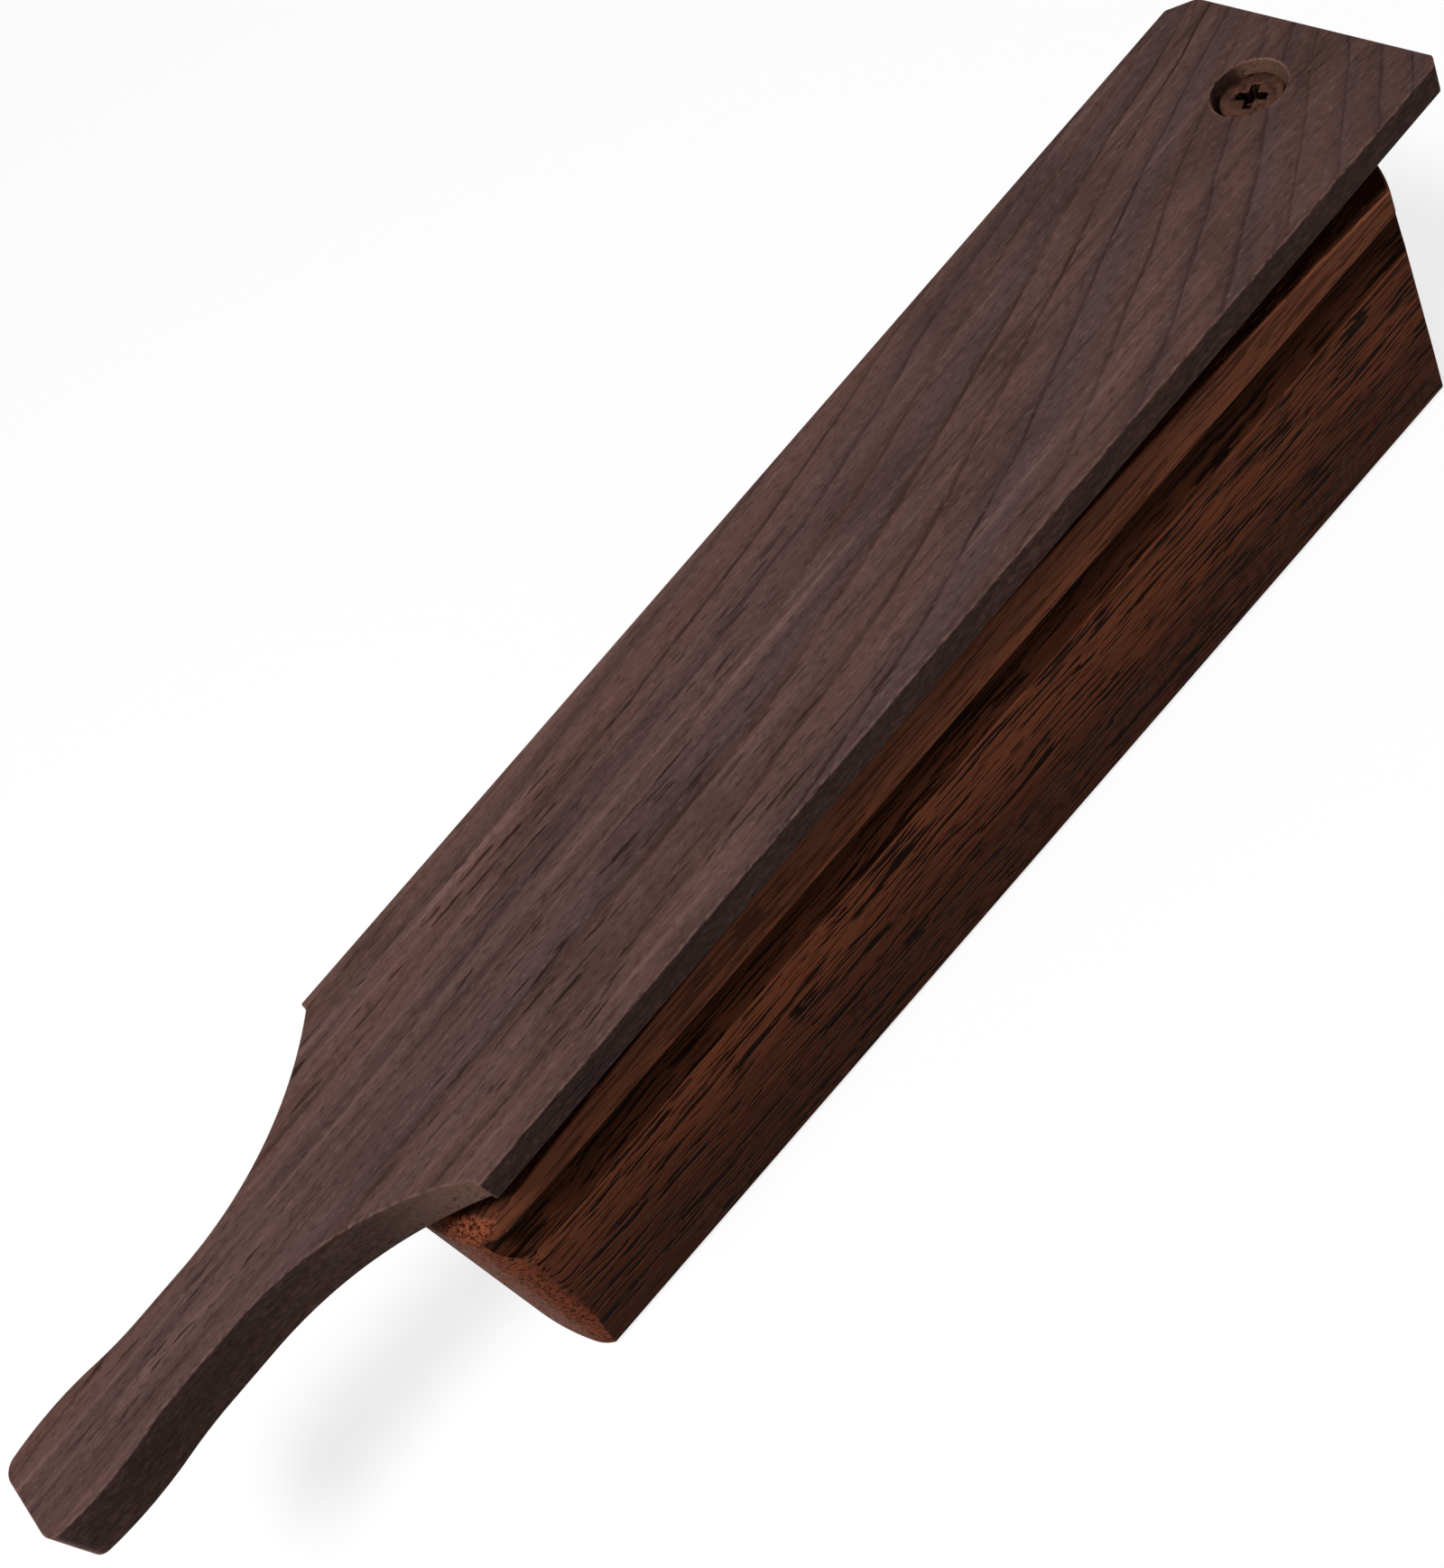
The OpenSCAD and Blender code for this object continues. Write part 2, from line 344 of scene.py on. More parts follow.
def low_edges(bm: Solid, z: float) -> list[Edge]:
    """Returns the edges of a solid that lie at a height or below it."""
    return [e for e in bm.edges if all(v.co.z < z + TOUCH for v in e.verts)]


def show(
    bm: Solid, name: str, material: bpy.types.Material, body: Body, nodes: tuple[str, ...],
    smooth_below: float = 32.0, crisp: Callable[[Edge], bool] = lambda edge: False,
) -> bpy.types.Object:
    """Turns a solid in millimetres into a finished piece in metres that rides on its body.

    Args:
        bm: The solid, which is used up.
        name: Name of the piece.
        material: Its finish.
        body: The body that it moves with.
        nodes: The CAD nodes that it stands for.
        smooth_below: Edges flatter than this angle, in degrees, are shaded smooth.
        crisp: Picks flatter edges that stay crisp.

    Returns:
        The finished object.
    """
    for e in bm.edges:
        bent = e.is_manifold and math.degrees(e.calc_face_angle()) > smooth_below
        e.smooth = not (bent or crisp(e))
    for f in bm.faces:
        f.smooth = True
    torn = sum(not e.is_manifold for e in bm.edges)
    bmesh.ops.recalc_face_normals(bm, faces=bm.faces[:])
    bmesh.ops.scale(bm, vec=(MM, MM, MM), verts=bm.verts[:])
    mesh = bpy.data.meshes.new(name)
    bm.to_mesh(mesh)
    bm.free()
    mesh.materials.append(material)
    piece = put_in(name, mesh)
    even = piece.modifiers.new("even_light", "WEIGHTED_NORMAL")
    even.keep_sharp = True
    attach(piece, body.value)
    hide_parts(*nodes)
    LOG.info("%s: %d faces on %s, %d open edges", name, len(mesh.polygons), body.value, torn)
    return piece


# ---- finishes


class Shade:
    """Short ways to lay out one material's nodes."""

    def __init__(self, name: str) -> None:
        """Starts an empty material.

        Args:
            name: Name of the material.
        """
        self.material = bpy.data.materials.new(name)
        self.material.use_nodes = True
        self.tree = self.material.node_tree
        self.tree.nodes.clear()
        self.surface = self.node("BsdfPrincipled", {})
        self.node("OutputMaterial", {"Surface": self.surface.outputs["BSDF"]})
        self.coordinates = self.node("TexCoord", {}).outputs
        self.tone: object = None
        self.relief: Socket | None = None

    def node(self, kind: str, inputs: Inputs, **settings: object) -> bpy.types.ShaderNode:
        """Adds a node.

        Args:
            kind: Kind of node.
            inputs: What goes into its sockets.
            **settings: Its own settings.

        Returns:
            The node.
        """
        made = self.tree.nodes.new("ShaderNode" + kind)
        for name, value in settings.items():
            setattr(made, name, value)
        for key, value in inputs.items():
            self.put(made.inputs[key], value)
        return made

    def fix(self, name: str, value: object) -> None:
        """Gives the surface one of its values."""
        self.put(self.surface.inputs[name], value)

    def put(self, socket: Socket, value: object) -> None:
        """Links a socket to another node's output, or sets it to a constant.

        Args:
            socket: The socket.
            value: The output or the constant.
        """
        if isinstance(value, Socket):
            self.tree.links.new(value, socket)
        else:
            socket.default_value = value

    def place(
        self, along: float, across: float, turn_z: float = 0.0,
        shift: tuple[float, float, float] = (0.0, 0.0, 0.0), sway: Socket | None = None,
    ) -> Socket:
        """Gives the place on the object, stretched for a pattern.

        Args:
            along: Repeats per metre along the grain, which is the X axis.
            across: Repeats per metre across it.
            turn_z: Turn of the pattern about the vertical, in degrees.
            shift: Shift of the pattern, in repeats.
            sway: How far the pattern bends aside, in metres.

        Returns:
            The coordinates.
        """
        turn = {"Rotation": (0.0, 0.0, math.radians(turn_z)), "Vector": self.coordinates["Object"]}
        if sway is not None:
            turn["Location"] = self.node("CombineXYZ", {"Y": sway, "Z": sway}).outputs["Vector"]
        here = self.node("Mapping", turn).outputs["Vector"]
        stretch = {"Scale": (along, across, across), "Location": shift, "Vector": here}
        return self.node("Mapping", stretch).outputs["Vector"]

    def noise(
        self, where: Socket, detail: float = 3.0, roughness: float = 0.5, distortion: float = 0.0
    ) -> Socket:
        """Adds a cloud-like noise.

        Args:
            where: The coordinates.
            detail: How many finer layers lie on it.
            roughness: Share of the finer layers.
            distortion: How far it swirls.

        Returns:
            Its grey value.
        """
        inputs = {"Vector": where, "Scale": 1.0, "Detail": detail}
        inputs |= {"Roughness": roughness, "Distortion": distortion}
        return self.node("TexNoise", inputs).outputs["Fac"]

    def lines(self, value: Socket, scale: float) -> Socket:
        """Adds a noise that changes along one value only, and gives its grey value."""
        inputs = {"W": value, "Scale": scale, "Detail": 2.0}
        return self.node("TexNoise", inputs, noise_dimensions="1D").outputs["Fac"]

    def pores(self, where: Socket, core: float, rim: float, sparse: float) -> Socket:
        """Scatters pores, one in each cell of the stretched coordinates at most.

        Args:
            where: The coordinates.
            core: Reach of a pore's dark core, as a share of its cell.
            rim: Reach at which it has faded out.
            sparse: Share of the cells that stay empty.

        Returns:
            1 in a pore and 0 elsewhere.
        """
        cells = self.node("TexVoronoi", {"Vector": where, "Scale": 1.0}).outputs
        spot = self.ramp(cells["Distance"], core, rim, 1.0, 0.0)
        chance = self.parts(cells["Color"])["X"]
        return self.times(spot, self.ramp(chance, sparse, sparse + 0.3))

    def ends(self, low: float, high: float) -> Socket:
        """Gives 1 where the surface cuts across the grain and 0 where it runs along it."""
        return self.ramp(self.math("ABSOLUTE", self.facing("X")), low, high)

    def facing(self, axis: str) -> Socket:
        """Gives how far the surface faces along an axis, from -1 to 1."""
        return self.parts(self.coordinates["Normal"])[axis]

    def attribute(self, name: str) -> Socket:
        """Reads a mark that was left on the faces."""
        return self.node("Attribute", {}, attribute_name=name).outputs["Fac"]

    def math(self, how: str, a: object, b: object = 0.0, clamp: bool = False) -> Socket:
        """Adds one sum of two values, held between 0 and 1 if asked, and gives its result."""
        return self.node("Math", {0: a, 1: b}, operation=how, use_clamp=clamp).outputs[0]

    def ramp(
        self, value: object, low: float, high: float, to_low: float = 0.0,
        to_high: float = 1.0, smooth: bool = True,
    ) -> Socket:
        """Maps a value from one range to another and holds it there.

        Args:
            value: The value.
            low: Where the input range starts.
            high: Where it ends.
            to_low: Result at the start.
            to_high: Result at the end.
            smooth: Whether it eases in and out.

        Returns:
            The mapped value.
        """
        inputs = {"Value": value, "From Min": low, "From Max": high}
        inputs |= {"To Min": to_low, "To Max": to_high}
        kind = "SMOOTHSTEP" if smooth else "LINEAR"
        return self.node("MapRange", inputs, interpolation_type=kind).outputs["Result"]

    def times(self, *values: object) -> Socket:
        """Multiplies values.

        Args:
            *values: The values.

        Returns:
            Their product.
        """
        product = values[0]
        for value in values[1:]:
            product = self.math("MULTIPLY", product, value)
        return product

    def less(self, value: object) -> Socket:
        """Gives what a value leaves of 1."""
        return self.math("SUBTRACT", 1.0, value)

    def mix(self, share: object, a: object, b: object) -> Socket:
        """Mixes two colours by the share of the second, and gives the result."""
        return self.node("Mix", {0: share, 6: a, 7: b}, data_type="RGBA").outputs[2]

    def paint(self, share: object, colour: object) -> None:
        """Lays a colour over the tone so far, by a share."""
        self.tone = self.mix(share, self.tone, colour)

    def emboss(self, height: object, strength: object, depth: float) -> None:
        """Adds a relief to the one so far.

        Args:
            height: Height of the surface, from 0 to 1.
            strength: Share of the relief that shows.
            depth: Depth of the relief in metres.
        """
        inputs = {"Strength": strength, "Distance": depth, "Height": height}
        if self.relief is not None:
            inputs["Normal"] = self.relief
        self.relief = self.node("Bump", inputs).outputs["Normal"]

    def done(self, rough: Socket) -> bpy.types.Material:
        """Joins tone, roughness and relief to the surface.

        Args:
            rough: The roughness.

        Returns:
            The material.
        """
        self.fix("Base Color", self.tone)
        self.fix("Roughness", rough)
        self.fix("Normal", self.relief)
        return self.material

    def parts(self, where: Socket) -> dict[str, Socket]:
        """Splits coordinates into X, Y and Z."""
        return dict(zip("XYZ", self.node("SeparateXYZ", {0: where}).outputs))


def rgb(code: str, gain: float = 1.0) -> tuple[float, float, float, float]:
    """Turns a web colour into linear light.

    Args:
        code: Six hexadecimal digits.
        gain: Factor on the light.

    Returns:
        Red, green, blue and alpha.
    """
    made = []
    for i in (0, 2, 4):
        c = int(code[i : i + 2], 16) / 255
        made.append(gain * (c / 12.92 if c <= 0.04045 else ((c + 0.055) / 1.055) ** 2.4))
    return (*made, 1.0)


@dataclass(frozen=True)
class Walnut:
    """Satin oiled black walnut of the lid: slanting growth rings, fine pores, mauve tinge."""

    mauve: str = "543f3f"
    pink: str = "5f443d"
    dark: str = "261815"
    pore: str = "120a08"
    fleck: str = "8c6a62"
    end: str = "8a6655"
    side_grey: str = "30251b"
    turn: float = -1.0
    heart: float = 76.3
    gloss: float = 0.04

    def growth(self, s: Shade) -> Socket:
        """Lays out the growth rings: nearly straight at the handle, fanning out at the pivot.

        Args:
            s: The finish that is being laid out.

        Returns:
            Depth in the log, in millimetres.
        """
        x, y, z = s.parts(s.place(MILLIMETRES, MILLIMETRES, self.turn)).values()
        along = s.ramp(x, -60.0, 128.5, 0.0, 1.3, smooth=False)
        square = s.times(along, along)
        swell = s.math("EXPONENT", s.times(square, along, 0.588))
        wide = s.noise(s.place(9.0, 26.0, self.turn), detail=1.0)
        near = s.noise(s.place(38.0, 120.0, self.turn))
        deep = s.math("SUBTRACT", s.math("SUBTRACT", self.heart, y), z)
        deep = s.math("ADD", deep, s.times(wide, 7.0))
        deep = s.math("ADD", deep, s.times(near, 2.4))
        rise = s.math("ADD", s.times(square, square, 1.49), s.times(x, 0.07))
        return s.math("ADD", s.times(deep, swell), rise)

    def make(self) -> bpy.types.Material:
        """Lays out the finish.

        Returns:
            The material.
        """
        s = Shade("oiled_walnut")
        dark, fleck, pore = rgb(self.dark), rgb(self.fleck), rgb(self.pore)
        x = s.parts(s.place(MILLIMETRES, MILLIMETRES))["X"]
        deep = self.growth(s)
        uneven = s.math("MAXIMUM", s.math("ADD", deep, s.times(s.lines(deep, 0.16), 3.2)), 0.0)
        count = s.times(s.math("POWER", uneven, 0.65), 0.78)
        part = s.math("FRACT", count)
        strong = s.ramp(s.lines(s.math("FLOOR", count), 1.7), 0.3, 0.7, 0.15, 1.0)
        line = s.times(
            s.ramp(part, 0.84, 0.965),
            s.ramp(part, 0.965, 0.99, 1.0, 0.0),
            strong,
            s.ramp(x, -70.0, 30.0, 0.45, 1.0),
        )
        streak = s.noise(s.place(14.0, 560.0, self.turn), 5.0, 0.68)
        cloud = s.noise(s.place(40.0, 90.0, self.turn))
        speck = s.noise(s.place(700.0, 2300.0, self.turn), 3.0, 0.7)
        patch = s.ramp(s.noise(s.place(30.0, 110.0, self.turn), 2.0), 0.36, 0.60)
        gouge = s.noise(s.place(120.0, 1700.0, self.turn, (2.1, 7.4, 3.3)), 2.0, 0.6)
        gouge = s.times(s.ramp(gouge, 0.400, 0.345), patch, s.ramp(x, 40.0, -40.0, 0.35, 1.0))
        fine = s.pores(s.place(420.0, 3000.0, self.turn, (3.7, 9.1, 5.3)), 0.10, 0.42, 0.25)
        s.tone = s.mix(s.ramp(s.lines(deep, 0.11), 0.35, 0.65), rgb(self.mauve), rgb(self.pink))
        bright = s.ramp(x, 60.0, -60.0, 0.04, 0.17)
        bright = s.math("ADD", bright, s.ramp(streak, 0.50, 0.72, -0.14, 0.30))
        s.paint(s.math("MAXIMUM", bright, 0.0), fleck)
        s.paint(s.ramp(streak, 0.47, 0.28, 0.0, 0.50), dark)
        s.paint(s.ramp(cloud, 0.52, 0.30, 0.0, 0.30), dark)
        s.paint(s.ramp(part, 0.25, 0.95, 0.0, 0.18), dark)
        fade = s.noise(s.place(28.0, 160.0, shift=(3.0, 1.0, 6.0)))
        s.paint(s.times(line, s.ramp(fade, 0.38, 0.60, 0.35)), dark)
        s.paint(s.ramp(x, 70.0, 100.0, 0.0, 0.22), dark)
        # the long sides darker and greyer
        sides = s.ramp(s.math("ABSOLUTE", s.facing("Y")), 0.8, 0.97)
        s.paint(s.times(sides, s.ramp(speck, 0.38, 0.62, 0.72, 0.22)), rgb(self.side_grey))
        s.paint(s.ramp(speck, 0.46, 0.34, 0.0, 0.35), dark)
        s.paint(s.ramp(speck, 0.56, 0.70, 0.0, 0.25), fleck)
        dot = s.pores(s.place(900.0, 2400.0, self.turn), 0.15, 0.45, 0.2)
        grain = s.mix(s.times(dot, 0.7), rgb(self.end), dark)
        s.paint(s.times(s.ends(0.40, 0.72), 0.85), grain)
        s.paint(s.times(gouge, 0.80), pore)
        s.paint(s.times(fine, 0.45), pore)
        # lighter rounded edges: partly wear, partly painted highlight
        s.paint(s.times(s.attribute("worn_and_lit"), s.ramp(speck, 0.4, 0.6, 0.0, 0.30)), fleck)
        s.fix("Specular IOR Level", self.gloss)
        s.emboss(streak, 0.35, 0.00012)
        s.emboss(speck, 0.35, 0.00006)
        s.emboss(s.less(line), 0.40, 0.00012)
        s.emboss(s.less(gouge), 0.6, 0.00016)
        return s.done(s.ramp(streak, 0.2, 0.8, 0.56, 0.70))


@dataclass(frozen=True)
class RedHardwood:
    """Oiled red-brown hardwood of the trough, with long open black pores."""

    light: str = "8d5036"
    ground: str = "6f3f2c"
    dark: str = "34170c"
    pore: str = "0c0402"
    end: str = "884930"
    # grey of the painted sheen on the end grain
    ash: str = "77685f"
    # painted light: lighter tone laid on the rail band above the grooves
    rail: str = "a8694d"
    torn: tuple[float, float] = (72.0, 1650.0)
    torn_edge: tuple[float, float] = (0.460, 0.432)
    sway: float = 0.0016
    gloss: float = 0.015

    def make(self) -> bpy.types.Material:
        """Lays out the finish.

        Returns:
            The material.
        """
        s = Shade("oiled_red_hardwood")
        dark, pore = rgb(self.dark), rgb(self.pore)
        bend = s.noise(s.place(60.0, 90.0), 1.0)
        bend = s.times(s.math("SUBTRACT", bend, 0.5), self.sway)
        z = s.times(s.parts(s.coordinates["Object"])["Z"], MILLIMETRES)
        streak = s.noise(s.place(9.0, 330.0), 5.0, 0.66)
        band = s.noise(s.place(4.0, 60.0), 2.0)
        gouge = s.ramp(s.noise(s.place(*self.torn, sway=bend), 2.0, 0.6), *self.torn_edge)
        # lip: painted highlight, a lighter line along the lower side of each torn pore
        lip = s.noise(s.place(*self.torn, shift=(0.0, 0.0, 0.32), sway=bend), 2.0, 0.6)
        lip = s.math("SUBTRACT", s.ramp(lip, *self.torn_edge), gouge, clamp=True)
        thread = s.noise(s.place(130.0, 2300.0, shift=(4.2, 1.7, 8.3), sway=bend), 2.0)
        long = s.pores(s.place(90.0, 1350.0, sway=bend), 0.10, 0.34, 0.20)
        curl = s.math("SINE", s.times(s.noise(s.place(130.0, 55.0), 1.0), 55.0))
        low = s.times(s.ramp(z, 14.5, 9.0), s.ramp(z, 1.0, 4.0))
        patch = s.ramp(s.noise(s.place(30.0, 60.0), 1.0), 0.42, 0.58)
        curl = s.times(curl, low, patch)
        s.tone = s.mix(s.ramp(band, 0.35, 0.65), rgb(self.ground), rgb(self.light))
        s.paint(s.ramp(streak, 0.50, 0.22, 0.0, 0.80), dark)
        s.paint(s.ramp(streak, 0.55, 0.78, 0.0, 0.45), rgb(self.light, 1.3))
        s.paint(s.ramp(curl, 0.0, 0.9, 0.0, 0.50), dark)
        # painted light: the rail band above the grooves lighter, as the top of the side gets more
        # light
        s.paint(s.ramp(z, 37.0, 37.6, 0.0, 0.40), rgb(self.rail))
        # painted shade: the sides darker towards the bottom and on the tapered lower facet, where
        # less light falls
        for high, deep, share in ((32.0, 8.0, 0.40), (15.4, 15.0, 0.36), (7.0, 0.0, 0.30)):
            s.paint(s.ramp(z, high, deep, 0.0, share), dark)
        ends = s.ends(0.22, 0.50)
        worm = s.noise(s.place(1500.0, 2000.0), 2.0, distortion=0.9)
        worm = s.ramp(worm, 0.49, 0.42)
        grain = s.mix(s.times(worm, 0.85), rgb(self.end), pore)
        # painted sheen: grey flecks on the end faces
        end_sheen = s.noise(s.place(700.0, 900.0, shift=(5.0, 3.0, 1.0)))
        end_sheen = s.times(s.ramp(end_sheen, 0.48, 0.60), s.ends(0.80, 1.0), 0.6)
        s.paint(ends, s.mix(end_sheen, grain, rgb(self.ash)))
        sides = s.less(ends)
        # painted shade: upward faces above the grooves, the rail tops under the lid, darkened
        under_lid_shade = s.times(s.ramp(s.facing("Z"), 0.75, 0.95), s.ramp(z, 37.8, 39.0))
        s.paint(s.times(under_lid_shade, sides, 0.65), pore)
        open_grain = s.times(sides, s.ramp(z, 37.0, 38.0, 1.0, 0.55))
        thread = s.times(s.ramp(thread, 0.43, 0.37), open_grain)
        long, gouge = s.times(long, open_grain), s.times(gouge, open_grain)
        # painted highlight along the torn pores' lower edges
        s.paint(s.times(lip, sides, 0.55), rgb(self.light, 1.5))
        for marks, share in ((thread, 0.75), (long, 0.75), (gouge, 0.95)):
            s.paint(s.times(marks, share), pore)
        # lighter rounded edges: partly wear, partly painted highlight where edges catch the light
        worn_and_lit = s.times(s.attribute("worn_and_lit"), s.ramp(streak, 0.4, 0.6, 0.25, 0.60))
        s.paint(worn_and_lit, rgb(self.light, 1.5))
        # painted shadow: the grooves darkened as if shaded by the ledge under each rail
        s.paint(s.times(s.attribute("groove"), 0.72), pore)
        s.fix("Specular IOR Level", self.gloss)
        s.emboss(streak, 0.45, 0.00018)
        s.emboss(curl, 0.35, 0.00012)
        s.emboss(s.less(thread), 0.5, 0.00012)
        s.emboss(s.less(gouge), 0.9, 0.00028)
        s.emboss(s.less(long), 0.8, 0.00024)
        s.emboss(s.less(worm), s.times(ends, 0.7), 0.0002)
        return s.done(s.ramp(streak, 0.2, 0.8, 0.50, 0.66))


@dataclass(frozen=True)
class WorkedSteel:
    """Steel with a fine grain of scratches, plain or bronzed."""

    name: str
    light: str
    dark: str
    rough: float
    grain: float = 9000.0

    def make(self) -> bpy.types.Material:
        """Lays out the finish.

        Returns:
            The material.
        """
        s = Shade(self.name)
        cloud = s.noise(s.place(700.0, 700.0), 4.0, 0.65)
        fine = s.noise(s.place(self.grain, self.grain / 6), 2.0)
        s.tone = s.mix(s.ramp(cloud, 0.3, 0.7), rgb(self.dark), rgb(self.light))
        s.fix("Metallic", 1.0)
        s.emboss(fine, 0.25, 0.00003)
        return s.done(s.ramp(cloud, 0.2, 0.8, self.rough - 0.08, self.rough + 0.12))


# ---- the pieces


@dataclass
class Trough:
    """The hollow body, milled from one block: arched rails, coved grooves, chamber, end blocks."""

    half_width: float = 20.5
    handle_corner: float = -88.2
    pivot_corner: float = 88.8
    handle_bulge: float = 5.2
    pivot_bulge: float = 7.8
    handle_corner_r: float = 6.0
    pivot_corner_r: float = 1.3
    handle_lean: float = 0.053
    handle_top_r: float = 5.5
    handle_top_z: float = 41.2
    bottom_r: float = 1.0
    taper_top: float = 15.2
    taper: float = 1.2
    rail_top: float = 45.3
    arch_r: float = 950.0
    arch_x: float = 8.0
    arch_steps: int = 52
    wall: float = 4.2
    floor: float = 6.0
    chamber: tuple[float, float] = (-77.0, 68.0)
    rail_start: float = -79.4
    rail_low: float = 37.2
    chamber_r: float = 9.0
    chamber_floor_r: float = 5.0
    groove_top: float = 37.5
    groove_height: float = 7.1
    groove_depth: float = 1.6
    groove_share: float = 0.85
    seat: float = 42.1
    screw_x: float = PIVOT_X
    screw_bore_r: float = 2.14
    screw_low: float = 16.8
    eased: float = 0.35
    # how far the tools reach, past the wood or over each other
    saw_end: float = 110.0
    clear: float = 5.0
    tool_half: tuple[float, float] = (120.0, 30.0)
    tool_top: float = 60.0
    over_end: float = -70.0
    over_gap: float = 0.05
    finish: RedHardwood = field(default_factory=RedHardwood)

    def outline(self) -> Pen:
        """Draws the plan: long sides, rounded corners and bulged ends.

        Returns:
            The closed outline.
        """
        pen = None
        for corner, bulge, r, sign in (
            (self.pivot_corner, self.pivot_bulge, self.pivot_corner_r, 1.0),
            (-self.handle_corner, self.handle_bulge, self.handle_corner_r, -1.0),
        ):
            big = (self.half_width**2 + bulge**2) / (2 * bulge)
            c = corner + bulge - big
            cy = self.half_width - r
            cx = c + math.sqrt((big - r) ** 2 - cy**2)
            turn = math.degrees(math.atan2(cy, cx - c))
            if pen is None:
                pen = Pen(corner + bulge, 0.0)
                pen.arc((c, 0.0), turn, 16).arc((cx, cy), 90.0 - turn, 8)
            else:
                pen.line(sign * cx, self.half_width)
                pen.arc((sign * cx, cy), 90.0 - turn, 12).arc((sign * c, 0.0), turn, 16)
        return pen.mirrored()

    def groove_tool(self, side: float) -> Solid:
        """Makes the cutter of one long groove: a cove that stops square under the rail.

        Args:
            side: 1 for the far side, -1 for the near side.

        Returns:
            The cutter.
        """
        rise = self.groove_height * self.groove_share
        r = (rise**2 + self.groove_depth**2) / (2 * self.groove_depth)
        y = self.half_width + r - self.groove_depth
        z = self.groove_top - self.groove_height + rise
        end = self.saw_end
        tool = cutter_rod(r, (-end, side * y, z), (end, side * y, z), 256)
        inner, outer = sorted((side * self.tool_half[1] / 2, side * self.tool_half[1]))
        end -= self.clear
        under_rail = cutter_block((-end, inner, z - rise - 2), (end, outer, self.groove_top))
        return carve(tool, under_rail, Cut.KEEP)

    def arch_tool(self) -> Solid:
        """Makes the block with an arched top that the rails follow.

        Returns:
            The block.
        """
        reach = self.saw_end - self.arch_x
        half_turn = math.degrees(math.asin(reach / self.arch_r))
        end_z = self.rail_top - self.arch_r + math.sqrt(self.arch_r**2 - reach**2)
        left, right = self.arch_x - reach, self.arch_x + reach
        pen = Pen(right, end_z)
        pen.arc((self.arch_x, self.rail_top - self.arch_r), 2 * half_turn, self.arch_steps)
        pen.line(left, -self.clear).line(right, -self.clear).line(right, end_z)
        half = self.tool_half[1]
        return moved(pen.closed().prism(-half, half), turned(90, "X"))

    def round_over(self) -> Solid:
        """Makes the shape that the top of the handle end is rounded to, turned like its bulge.

        Returns:
            The shape, which reaches past the trough everywhere else.
        """
        bulge, r, z = self.handle_bulge, self.handle_top_r, self.handle_top_z
        big = (self.half_width**2 + bulge**2) / (2 * bulge)
        x = self.handle_corner - bulge + big + self.handle_lean * (z - r)
        big += self.over_gap
        top, past = self.tool_top, 2 * self.clear
        pen = Pen(0.0, -self.clear).line(big + self.clear, -self.clear).line(big, z - r)
        pen.arc((big - r, z - r), 90.0, 10).line(big - r, top).line(0.0, top)
        tool = shifted(pen.lathed(240), x)
        far, wide = self.tool_half[0], self.tool_half[1] + 2 * past
        rest = cutter_block((self.over_end, -wide, -past), (far, wide, top + past))
        return carve(tool, rest, Cut.JOIN)

    def build(self) -> Solid:
        """Mills the trough.

        Returns:
            The solid.
        """
        over = self.rail_top + 1
        bm = self.outline().prism(0.0, over)
        back = [v for v in bm.verts if v.co.x < 0 and v.co.z > 1]
        bmesh.ops.translate(bm, vec=(self.handle_lean * over, 0, 0), verts=back)
        far = self.tool_half[0]
        sides = cutter_block((-far, -1, -2), (far, 1, self.tool_top))
        for v in sides.verts:
            v.co.y *= self.half_width + (v.co.z - self.taper_top) * self.taper / self.taper_top
        bm = carve(bm, sides, Cut.KEEP)
        round_off(bm, low_edges(bm, 0.0), self.bottom_r, 4)
        bm = carve(bm, self.arch_tool(), Cut.KEEP)
        bm = carve(bm, self.round_over(), Cut.KEEP)
        for side in (-1.0, 1.0):
            bm = carve(bm, self.groove_tool(side))
        y = self.half_width - self.wall
        x0, x1 = self.chamber
        r = self.chamber_r
        pen = Pen(x1, 0.0).line(x1, y - r).arc((x1 - r, y - r), 90.0, 12).line(x0 + r, y)
        pen.arc((x0 + r, y - r), 90.0, 12).line(x0, 0.0)
        over = self.rail_top + self.clear
        room = pen.mirrored().prism(self.floor, over)
        round_off(room, low_edges(room, self.floor), self.chamber_floor_r, 8)
        bm = carve(bm, room)
        seat = cutter_block((x1 - r, -y, self.seat), (self.saw_end, y, over))
        bm = carve(bm, seat)
        x = self.screw_x
        bore = cutter_rod(self.screw_bore_r, (x, 0, self.screw_low), (x, 0, self.rail_top), 48)
        bm = carve(bm, bore)
        ease(bm, self.eased, 4, self.handled)
        self.mark_groove_shadow(bm)
        return bm

    def handled(self, edge: Edge) -> bool:
        """Picks the edges of the rails, the seat and the grooves' lower lips.

        Args:
            edge: An edge of the trough.

        Returns:
            Whether it is one of them.
        """
        at = middle(edge)
        lip = self.groove_top - self.groove_height
        kept = at.z > self.rail_low or abs(at.z - lip) < 10 * TOUCH
        return kept and at.x > self.rail_start

    def mark_groove_shadow(self, bm: Solid) -> None:
        """Marks the faces of the two grooves, where the finish paints the ledge's shadow.

        Args:
            bm: The trough.
        """
        # this layer holds where the finish paints the shadow under each rail's ledge
        mark = bm.faces.layers.float.new("groove")
        for f in bm.faces:
            at = f.calc_center_median()
            deep = self.half_width - abs(at.y)
            inside = self.groove_top - self.groove_height < at.z < self.groove_top + 2 * TOUCH
            milled = 2 * TOUCH < deep < self.groove_depth + 0.1 and abs(f.normal.x) < 0.3
            f[mark] = float(inside and milled)

